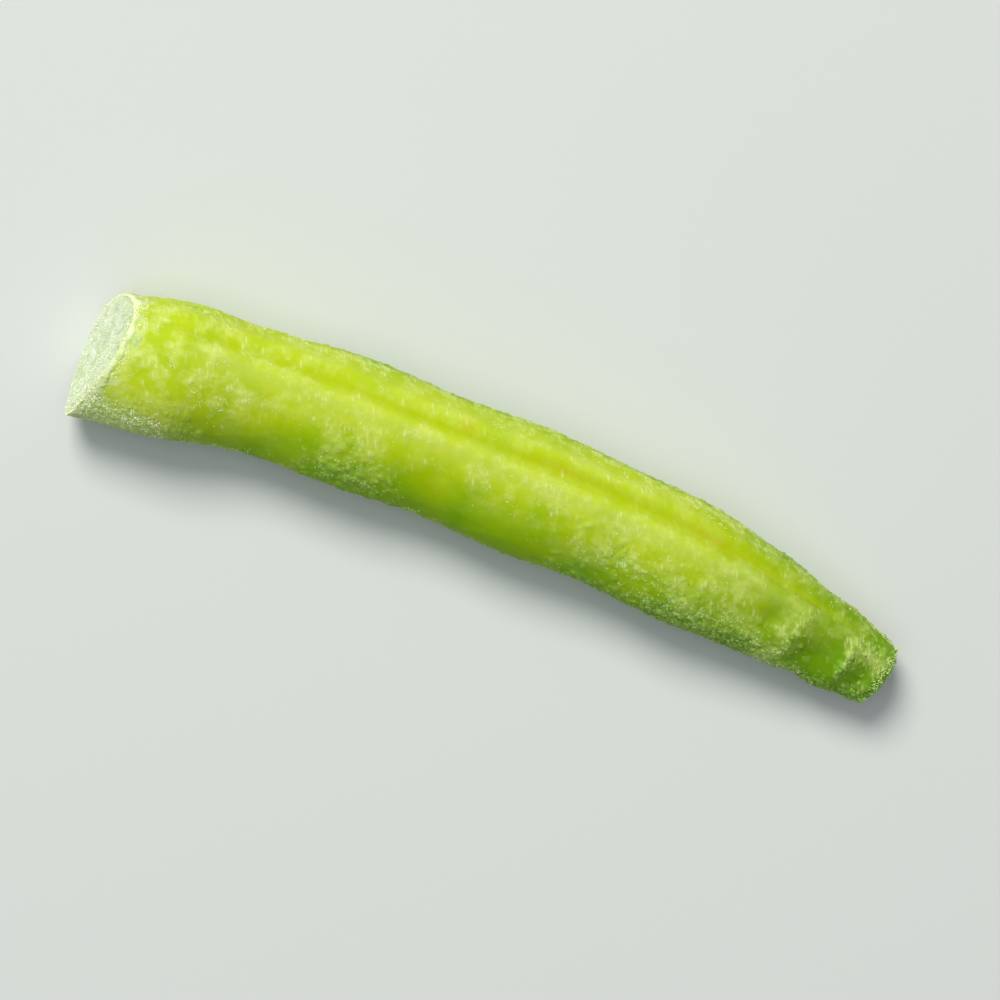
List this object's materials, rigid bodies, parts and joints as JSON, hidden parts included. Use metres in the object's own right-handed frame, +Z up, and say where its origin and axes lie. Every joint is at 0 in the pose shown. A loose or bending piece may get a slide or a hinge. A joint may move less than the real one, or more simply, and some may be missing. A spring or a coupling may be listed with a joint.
{
  "type": "green bean pod",
  "caption": "Frozen green bean: a slender, gently arched pod with a suture groove, an oblique frosted cut face at the stem end and a blunt, shrivelled tip, lying on its side.",
  "frame": {"origin": "centre of the pod's box at the surface it lies on", "axes": "+X from the cut face to the tip, +Y towards the outside of the arch, +Z up from the surface"},
  "size_m": [0.0686, 0.013, 0.0101],
  "materials": {
    "pod_skin": "lime green bean skin, waxy satin under a thin bloom of frost",
    "cut_flesh": "pale green cut flesh, frosted white",
    "rime": "white, slightly see-through frost crystals"
  },
  "bodies": {
    "root": {"pod": "pod_skin"}
  },
  "joints": []
}
